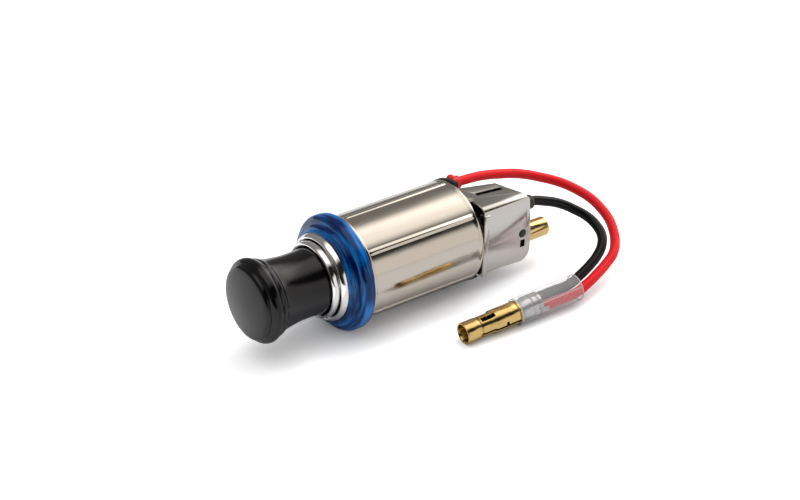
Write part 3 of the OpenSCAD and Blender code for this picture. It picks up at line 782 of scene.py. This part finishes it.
spring_steel = finish("Spring steel", (0.42, 0.4, 0.38), 1.0, 0.3)
spring_from, spring_to = -3.95, 16.55
spring_r, spring_wire = 5.6, 0.9
spring_turns = 8
coil_steps = 32
closed_rise = spring_wire * 1.05
open_rise = (spring_to - spring_from - 2 * closed_rise) / (spring_turns - 2)
coils = []
station = spring_from
for turns, rise in ((1, closed_rise), (spring_turns - 2, open_rise), (1, closed_rise)):
    bpy.ops.object.select_all(action="DESELECT")
    bpy.ops.mesh.primitive_circle_add(
        vertices=10, radius=spring_wire / 2 * mm, fill_type="NOTHING",
        location=(station * mm, 0, spring_r * mm), rotation=(math.pi / 2, 0, 0))
    coil = bpy.context.object
    bpy.ops.object.transform_apply(location=True, rotation=True, scale=True)
    modify(coil, "SCREW", axis="X", angle=math.tau * turns, screw_offset=rise * turns * mm,
           steps=coil_steps * turns, render_steps=coil_steps * turns, use_smooth_shade=True)
    coils.append(coil)
    station += rise * turns
return_spring = join("coiled_return_spring", coils)
bpy.ops.object.mode_set(mode="EDIT")
bpy.ops.mesh.select_all(action="SELECT")
bpy.ops.mesh.remove_doubles(threshold=0.01 * mm)
bpy.ops.mesh.select_all(action="DESELECT")
bpy.ops.mesh.select_mode(type="EDGE")
bpy.ops.mesh.select_non_manifold()
bpy.ops.mesh.fill()
bpy.ops.mesh.select_all(action="SELECT")
bpy.ops.mesh.normals_make_consistent(inside=False)
bpy.ops.object.mode_set(mode="OBJECT")
smooth(return_spring, 60)
seat(return_spring, "plug", "return_spring", spring_steel)
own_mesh(return_spring)


# Knob
# The black moulded knob with a gently domed face, two fine rings behind it and a slim waist. It
# is hollow at the rear, where the spring lies in it.
knob_front = 32.6
head_r = 11.8
head_round = 1.9
waist_r = 9.1
insert_r = 2.6
knob_black = finish("Black knob plastic", (0.003, 0.0025, 0.003), 0.0, 0.08, Specular_IOR_Level=0.35)
vary(knob_black, "Roughness", noise(knob_black, 2.0), 0.1, 0.17)
bump(knob_black, noise(knob_black, 0.5), 0.004)
dome_r, dome_out = 49.5, 9.2
dome_edge = math.degrees(math.asin(dome_out / dome_r))
knob = turn("moulded_knob", [
    (-knob_front, 0), *arc((dome_r - knob_front, 0), dome_r, 180 - dome_edge / 8, 180 - dome_edge, 7),
    (-31.6, 9.6), (-31.4, 10), (-31.1, 10.3), (-30.8, 10.4), (-30.55, 10.3), (-30.4, 10.35),
    *arc((-28.5, head_r - head_round), head_round, 155, 60, 10),
    (-26.9, 11.2), (-26.6, 11), (-26.1, 11), (-25.5, 10.8), (-25, 10.35), (-23.4, 9.9), (-21, 9.5),
    (-18, waist_r + 0.05), (-14.5, waist_r), (-11.2, waist_r + 0.2), (-8, 9.35), (-4, 9.35), (-4, 7.8),
    (-12, 7.6), (-22, 7.2), (-23, 6.2), (-23, 4.4), (-22, 4.2), (-5, 4.2), (-5, insert_r),
    (-14, insert_r), (-14, rod_r), (-16, rod_r), (-16, 0),
], 128)
soften(knob, 0.12, 2, 20)
smooth(knob)
seat(knob, "knob", "knob", knob_black)


# Knob insert and plunger rod
# A flanged steel bush pressed in the knob, and the rod fixed in it that joins the knob to the
# heater. Both are zinc-plated.
knob_insert = turn("pressed_knob_insert", [
    (-14, rod_r), (-14, insert_r), (-5, insert_r), (-5, 7.2), (-4.4, 7.2), (-4.4, rod_r),
], 64)
soften(knob_insert, 0.1)
smooth(knob_insert)
seat(knob_insert, "knob", "knob_insert", steel)
plunger_rod = turn("drawn_plunger_rod", [
    (-16, 0), (-16, rod_r - 0.1), (-15.9, rod_r), (21.1, rod_r), (21.2, rod_r - 0.1), (21.2, 0),
], 48)
smooth(plunger_rod)
seat(plunger_rod, "knob", "plunger_rod", steel)


# Heater
# A drawn steel cup with a ceramic disc in it, and a flat ribbon of heating alloy wound in a
# spiral from the cup's wall to the rivet in the centre.
cup_r, cup_in = 7.9, 7.3
heater_rivet_r = 1.2
heater_x = 21.2
floor_x, ribbon_x = heater_x + 0.6, heater_x + 2.4
cup_mouth = 26.6
heater_cup = turn("drawn_heater_cup", [
    (heater_x, heater_rivet_r), (heater_x, cup_r - 0.8), (heater_x + 0.25, cup_r - 0.25),
    (heater_x + 0.8, cup_r),
    (cup_mouth, cup_r), (cup_mouth, cup_in), (floor_x, cup_in), (floor_x, heater_rivet_r),
], 96)
soften(heater_cup, 0.08)
smooth(heater_cup)
seat(heater_cup, "knob", "heater_cup", steel)

ceramic = finish("White ceramic", (0.8, 0.76, 0.68), 0.0, 0.6)
bump(ceramic, noise(ceramic, 0.4), 0.03)
coil_insulator = turn("fired_coil_insulator", [
    (floor_x, heater_rivet_r), (floor_x, cup_in), (ribbon_x, cup_in), (ribbon_x, heater_rivet_r),
], 96)
smooth(coil_insulator)
seat(coil_insulator, "knob", "coil_insulator", ceramic)

ribbon = finish("Oxidised heating ribbon", (0.2, 0.17, 0.15), 0.9, 0.45)
vary(ribbon, "Roughness", noise(ribbon, 1.0), 0.35, 0.6)
ribbon_t, ribbon_wide = 0.35, 1.5
ribbon_turns, turn_steps = 5, 28
growth = (cup_in - ribbon_t - heater_rivet_r) / (ribbon_turns * turn_steps)
spiral = []
for i in range(ribbon_turns * turn_steps + 1):
    a, r = math.tau * i / turn_steps, heater_rivet_r + growth * i
    spiral.append((ribbon_x, r * math.cos(a), r * math.sin(a)))
heating_coil = draw("wound_heating_coil", spiral)
bpy.ops.mesh.extrude_region_move(TRANSFORM_OT_translate={"value": (ribbon_wide * mm, 0, 0)})
bpy.ops.mesh.select_all(action="SELECT")
bpy.ops.mesh.normals_make_consistent(inside=False)
bpy.ops.object.mode_set(mode="OBJECT")
modify(heating_coil, "SOLIDIFY", thickness=ribbon_t * mm, offset=0)
smooth(heating_coil)
seat(heating_coil, "knob", "heating_coil", ribbon)

heater_rivet = turn("set_heater_rivet", [
    (heater_x, 0), (heater_x, heater_rivet_r), (25, heater_rivet_r), (25.1, 1.05), (25.1, 0),
], 48)
smooth(heater_rivet)
seat(heater_rivet, "knob", "heater_rivet", steel)


# Wires
# Two stranded wires in soft vinyl, a red one from the feed tab and a black one from the lamp,
# that curl round together into the lead's connector. Each is a curve along its own route.
wire_d = 2.8
red_route = [
    (27.3, 5.6, 25.4), (31.7, 5.8, 24.8), (35.4, 5.9, 24.2), (42.3, 5.5, 22.6), (48.7, 4.3, 20.9),
    (54.1, 2, 19), (58.6, -1.7, 17.4), (61, -5.5, 16.2), (62.8, -10.2, 14.7), (63.3, -14, 13.2),
    (63.2, -17.8, 11.4), (62.1, -21, 9.8), (60.5, -23.7, 8.4), (57.1, -26.9, 7), (52.8, -28.8, 6),
    (47.8, -30.5, 5.2), (43.6, -31.6, 4.5), (39.4, -32.3, 3.8), (32.4, -32, 3.6),
    (25, -31.4, 3.4), (23, -31.2, 3.3),
]
black_route = [
    (35.4, -9.4, 21.5), (41.4, -9.4, 21.25), (45.9, -10.1, 19.9), (50.2, -11.5, 18.2),
    (53.7, -13.9, 16.1), (56, -16.9, 14.3), (56.7, -19.7, 12.8), (56.3, -22.6, 11.2),
    (54.5, -24.9, 9.8), (51.4, -26.7, 8.4), (47.6, -28, 7.3), (43.1, -29.1, 6.3),
    (39, -29.8, 5.4), (32.5, -29.6, 5.3), (25, -29, 5.05), (23, -28.8, 4.95),
]


def wire(name, route, node, material):
    """A round wire along a route: a smooth curve with a bevel, its ends closed."""
    bpy.ops.object.select_all(action="DESELECT")
    bpy.ops.curve.primitive_bezier_curve_add()
    piece = bpy.context.object
    piece.name = piece.data.name = name
    spline = piece.data.splines[0]
    spline.bezier_points.add(len(route) - len(spline.bezier_points))
    for point, here in zip(spline.bezier_points, route):
        point.handle_left_type = point.handle_right_type = "AUTO"
        point.co = Vector(here) * mm
    spline.resolution_u = 8
    piece.data.bevel_depth = wire_d / 2 * mm
    piece.data.bevel_resolution = 6
    piece.data.use_fill_caps = True
    dress(piece, "socket", node, material)
    return piece


red_vinyl_wire = finish("Red wire vinyl", (0.8, 0.008, 0.014), 0.0, 0.42, Specular_IOR_Level=0.25)
bump(red_vinyl_wire, noise(red_vinyl_wire, 0.9), 0.02)
black_vinyl_wire = finish("Black wire vinyl", (0.004, 0.004, 0.004), 0.0, 0.26, Specular_IOR_Level=0.2)
bump(black_vinyl_wire, noise(black_vinyl_wire, 0.9), 0.02)
red_wire = wire("red_vinyl_wire", red_route, "red_wire", red_vinyl_wire)
black_wire = wire("black_vinyl_wire", black_route, "black_wire", black_vinyl_wire)


# Bullet connector
# The female bullet connector that ends the lead, rolled from brass sheet. Its edges meet in a
# slit, a window locks it in a housing, and its tinned rear is crimped over the wires.
lead_mouth = Vector((2.6, -28.5, 3.03)) * mm
lead_turn = (0, math.radians(-2.4), math.radians(-4))
bullet_r, bullet_bore_r = 3.03, 2.5
tinned_from = 20
recess_shade_reach = 4.5
connector_brass = finish("Rolled brass", (0.8, 0.6, 0.26), 1.0, 0.15)
vary(connector_brass, "Roughness", noise(connector_brass, 0.5), 0.1, 0.22)
bump(connector_brass, noise(connector_brass, 1.8), 0.09)
tree = connector_brass.node_tree
places = tree.nodes.new("ShaderNodeTexCoord")
parts = tree.nodes.new("ShaderNodeSeparateXYZ")
tree.links.new(places.outputs["Object"], parts.inputs[0])
tinned = ramp(tree, parts.outputs["X"], (tinned_from - 0.2) * mm, (tinned_from + 0.2) * mm, 0, 1)
vary(connector_brass, "Base Color", tinned, (0.8, 0.64, 0.35), (0.77, 0.76, 0.755), 0, 1)
shader = tree.nodes["Principled BSDF"]
# The brass's base colour is darkened by ambient occlusion, deepened by a gamma, inside the bore and
# round the crimps: painted shade in the connector's recesses.
recess_shade = tree.nodes.new("ShaderNodeAmbientOcclusion")
recess_shade.inputs["Distance"].default_value = recess_shade_reach * mm
recess_shade.samples = 8
recess_shade.only_local = True
deepened_recess_shade = tree.nodes.new("ShaderNodeGamma")
deepened_recess_shade.inputs["Gamma"].default_value = 1.6
tree.links.new(shader.inputs["Base Color"].links[0].from_socket, recess_shade.inputs["Color"])
tree.links.new(recess_shade.outputs["Color"], deepened_recess_shade.inputs["Color"])
tree.links.new(deepened_recess_shade.outputs["Color"], shader.inputs["Base Color"])

neck_r, body_r, rear_r = bullet_r - 0.32, bullet_r - 0.12, bullet_r + 0.25
barrel = turn("rolled_barrel", [
    (0, bullet_bore_r + 0.15), (0, bullet_r - 0.1), (0.15, bullet_r), (4.3, bullet_r),
    (4.45, neck_r), (4.9, neck_r), (5.1, body_r), (8.6, body_r),
    (9.3, rear_r), (17.5, rear_r), (17.5, bullet_bore_r + 0.3),
    (15.5, bullet_bore_r), (0.2, bullet_bore_r),
], 96)
slit = ((4, -4, -0.35), (17, -2, 0.35), 12)
nick = ((12.2, -4, -0.5), (13, -2, 0.5), -2)
window = ((5.3, -0.65, 2), (9.7, 0.65, 4), 18)
for low, high, angle in (slit, nick, window):
    opening = block("opening", low, high)
    place(opening, (0, 0, 0), (math.radians(angle), 0, 0))
    cut(barrel, opening)
crimp = turn("crimp", [
    (17.4, 1.9), (17.4, 2.6), (19.2, 2.9), (20.2, 3.35), (20.9, 3.35), (21.1, 3.12), (21.6, 3.12),
    (21.8, 3.35), (22.8, 3.35), (23, 3.12), (23.5, 3.12), (23.7, 3.35), (24.4, 3.35), (24.4, 2.98),
    (20.4, 2.98), (19.2, 2.4), (18.2, 1.9),
], 64)
web = turn("crimp_web", [(17.4, 1.9), (17.4, bullet_r), (17.9, bullet_r), (18.3, 1.9)], 64)
bullet_connector = join("rolled_bullet_connector", [barrel, crimp, web])
soften(bullet_connector, 0.08, 2, 40)
smooth(bullet_connector)
seat(bullet_connector, "socket", "bullet_connector", connector_brass,
     lead_mouth, lead_turn)


# Clear sleeve
# The soft clear tube, slightly milky, pushed over the crimps and the wires' ends. Its rims, and the
# creases that run along it, have gone white, and two long white strips on its outline are painted sheen.
clear_r = 3.75
clear_from, clear_to = 17.2, 37.5
clear_plastic = finish("Clear soft plastic", (0.78, 0.78, 0.8), 0.0, 0.12, IOR=1.5, Alpha=0.18)
clear_sleeve = turn("soft_clear_sleeve", [
    (clear_from, clear_r - 0.1), (clear_from + 0.2, clear_r), (18.2, clear_r), (18.4, clear_r - 0.1),
    (36.8, clear_r - 0.1), (37, clear_r), (clear_to, clear_r - 0.05), (clear_to, clear_r - 0.4),
    (clear_from, clear_r - 0.4),
])
soften(clear_sleeve, 0.05)
smooth(clear_sleeve)
seat(clear_sleeve, "socket", "clear_sleeve", clear_plastic, lead_mouth, lead_turn)

whitened_and_sheen = finish("Whitened plastic and painted sheen", (0.66, 0.66, 0.68), 0.0, 0.25, IOR=1.5, Alpha=0.6)
front_rim = turn("front_rim", [
    (clear_from - 0.05, 3.6), (clear_from - 0.05, 3.8), (clear_from + 0.3, 3.8), (clear_from + 0.3, 3.6),
])
rear_rim = turn("rear_rim", [
    (clear_to - 0.3, 3.5), (clear_to - 0.3, 3.78), (clear_to + 0.05, 3.78), (clear_to + 0.05, 3.5),
])
white_strip_in, white_strip_out = -3.62, -3.8
white_strips = []
# The strips at -130 and 52 degrees lie along the tube's outline as it is seen: painted sheen on its
# edges. The others are whitened creases.
for start, end, width, angle in ((17.4, 37.3, 0.2, -130), (17.4, 37.3, 0.2, 52), (20.6, 36.8, 0.34, -32),
                                 (18.2, 23.5, 0.26, 24), (23.6, 25.8, 1.4, -2)):
    white_strip = block("white_strip", (start, white_strip_out, -width / 2), (end, white_strip_in, width / 2))
    place(white_strip, (0, 0, 0), (math.radians(angle), 0, 0))
    white_strips.append(white_strip)
sleeve_white_strips = join("sleeve_whitening_and_sheen", [front_rim, rear_rim, *white_strips])
soften(sleeve_white_strips, 0.04)
seat(sleeve_white_strips, "socket", "clear_sleeve", whitened_and_sheen, lead_mouth, lead_turn)


# Studio
# A pale floor in a dark room, one long soft light above and a smaller one on the right. A white
# wall on the near side fills the shadows, and the key light shows in no reflection.
floor_size = 1.6
floor_tone = (0.77, 0.79, 0.83, 1)
floor_glow = 0.72
knob_reflection_glow, mirrored_elsewhere = 0.6, 0.05
knob_side = (-55 * mm, -42 * mm)
contact_shade = 12 * mm
bpy.ops.mesh.primitive_plane_add(size=floor_size)
floor = bpy.context.object
floor.name = "floor"
floor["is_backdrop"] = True
floor_material = bpy.data.materials.new("Pale floor")
floor_material.use_nodes = True
floor.data.materials.append(floor_material)
tree = floor_material.node_tree
tree.nodes.clear()
here = tree.nodes.new("ShaderNodeTexCoord")
parts = tree.nodes.new("ShaderNodeSeparateXYZ")
tree.links.new(here.outputs["Object"], parts.inputs[0])
path = tree.nodes.new("ShaderNodeLightPath")
# The floor's glow is dimmed by ambient occlusion near the lighter: painted contact shade on the floor
# and in its reflections.
contact_occlusion = tree.nodes.new("ShaderNodeAmbientOcclusion")
contact_occlusion.inputs["Distance"].default_value = contact_shade
contact_occlusion.samples = 8
# The floor glows far more in reflections in front of the knob than elsewhere: a painted reflection that
# lightens the knob's face.
mirrored = ramp(tree, parts.outputs["X"], *knob_side, knob_reflection_glow, mirrored_elsewhere)
seen = reckon(tree, "MAXIMUM", path.outputs["Is Camera Ray"], path.outputs["Is Transmission Ray"])
seen = reckon(tree, "MAXIMUM", seen, reckon(tree, "MULTIPLY", path.outputs["Is Glossy Ray"], mirrored))
glow = tree.nodes.new("ShaderNodeEmission")
amount = reckon(tree, "MULTIPLY", reckon(tree, "MULTIPLY", seen, contact_occlusion.outputs["AO"]), floor_glow)
tree.links.new(amount, glow.inputs["Strength"])
matt = tree.nodes.new("ShaderNodeBsdfDiffuse")
matt.inputs["Color"].default_value = floor_tone
both = tree.nodes.new("ShaderNodeAddShader")
output = tree.nodes.new("ShaderNodeOutputMaterial")
tree.links.new(matt.outputs[0], both.inputs[0])
tree.links.new(glow.outputs[0], both.inputs[1])
tree.links.new(both.outputs[0], output.inputs["Surface"])

cream = (1, 0.97, 0.93, 1)
world = bpy.data.worlds.new("Studio")
bpy.context.scene.world = world
world.use_nodes = True
tree = world.node_tree
sky = tree.nodes["Background"]
sky.inputs["Color"].default_value = cream
around = tree.nodes.new("ShaderNodeTexCoord")
parts = tree.nodes.new("ShaderNodeSeparateXYZ")
tree.links.new(around.outputs["Generated"], parts.inputs[0])
to_x, to_y, to_z = (parts.outputs[axis] for axis in "XYZ")


def soft_edge(value, start, end, low, high):
    """A value that eases from low to high while another one goes from start to end."""
    return ramp(tree, value, start, end, low, high, "SMOOTHSTEP")


def soft_patch(direction, inner, outer, strength):
    """Light from round a direction, with a soft edge between two angles."""
    dot = tree.nodes.new("ShaderNodeVectorMath")
    dot.operation = "DOT_PRODUCT"
    dot.inputs[1].default_value = Vector(direction).normalized()
    tree.links.new(around.outputs["Generated"], dot.inputs[0])
    return soft_edge(dot.outputs["Value"], math.cos(math.radians(outer)), math.cos(math.radians(inner)),
                     0, strength)


dark, dim = 0.015, 0.25
strip_light, side_light, wall_light = 1.3, 2, 0.92
strip_lean = 0.05
room = soft_edge(to_y, -0.62, 0.2, dark, dim)
slope = reckon(tree, "ADD", reckon(tree, "DIVIDE", to_y, to_z), strip_lean)
strip = soft_edge(reckon(tree, "ABSOLUTE", slope), 0.24, 0.7, strip_light, 0)
for part, start, end, low, high in ((to_x, -0.75, -0.55, 0, 1), (to_x, 0.72, 0.86, 1, 0),
                                    (to_z, 0.15, 0.3, 0, 1)):
    strip = reckon(tree, "MULTIPLY", strip, soft_edge(part, start, end, low, high))
side = soft_patch((0.88, 0.15, 0.42), 10, 33, side_light)
wall = reckon(tree, "MULTIPLY", soft_patch((0.52, -0.83, 0.18), 22, 62, wall_light),
              soft_edge(to_z, 0.34, 0.5, 1, 0))
light = room
for lamp in (strip, side, wall):
    light = reckon(tree, "ADD", light, lamp)
tree.links.new(light, sky.inputs["Strength"])

aim = Vector((3.1, 0.2, 14.9)) * mm
key_from = Vector((0.3, 0.15, 0.6))
bpy.ops.object.light_add(type="AREA", location=aim + key_from)
key = bpy.context.object
key.rotation_euler = (key.location - aim).to_track_quat("Z", "Y").to_euler()
key.data.size = 0.4
key.data.energy = 2
key.visible_glossy = False

view_azimuth = -37.0
view_elevation = 32.45
view_distance = 0.659
a, e = math.radians(view_azimuth), math.radians(view_elevation)
back = Vector((math.sin(a) * math.cos(e), -math.cos(a) * math.cos(e), math.sin(e)))
bpy.ops.object.camera_add(location=aim + back * view_distance, rotation=(math.pi / 2 - e, 0, a))
camera = bpy.context.object
camera.data.lens = 108.5
camera.data.sensor_width = 36
bpy.context.scene.camera = camera
bpy.context.scene.view_settings.view_transform = "Standard"

low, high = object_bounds()
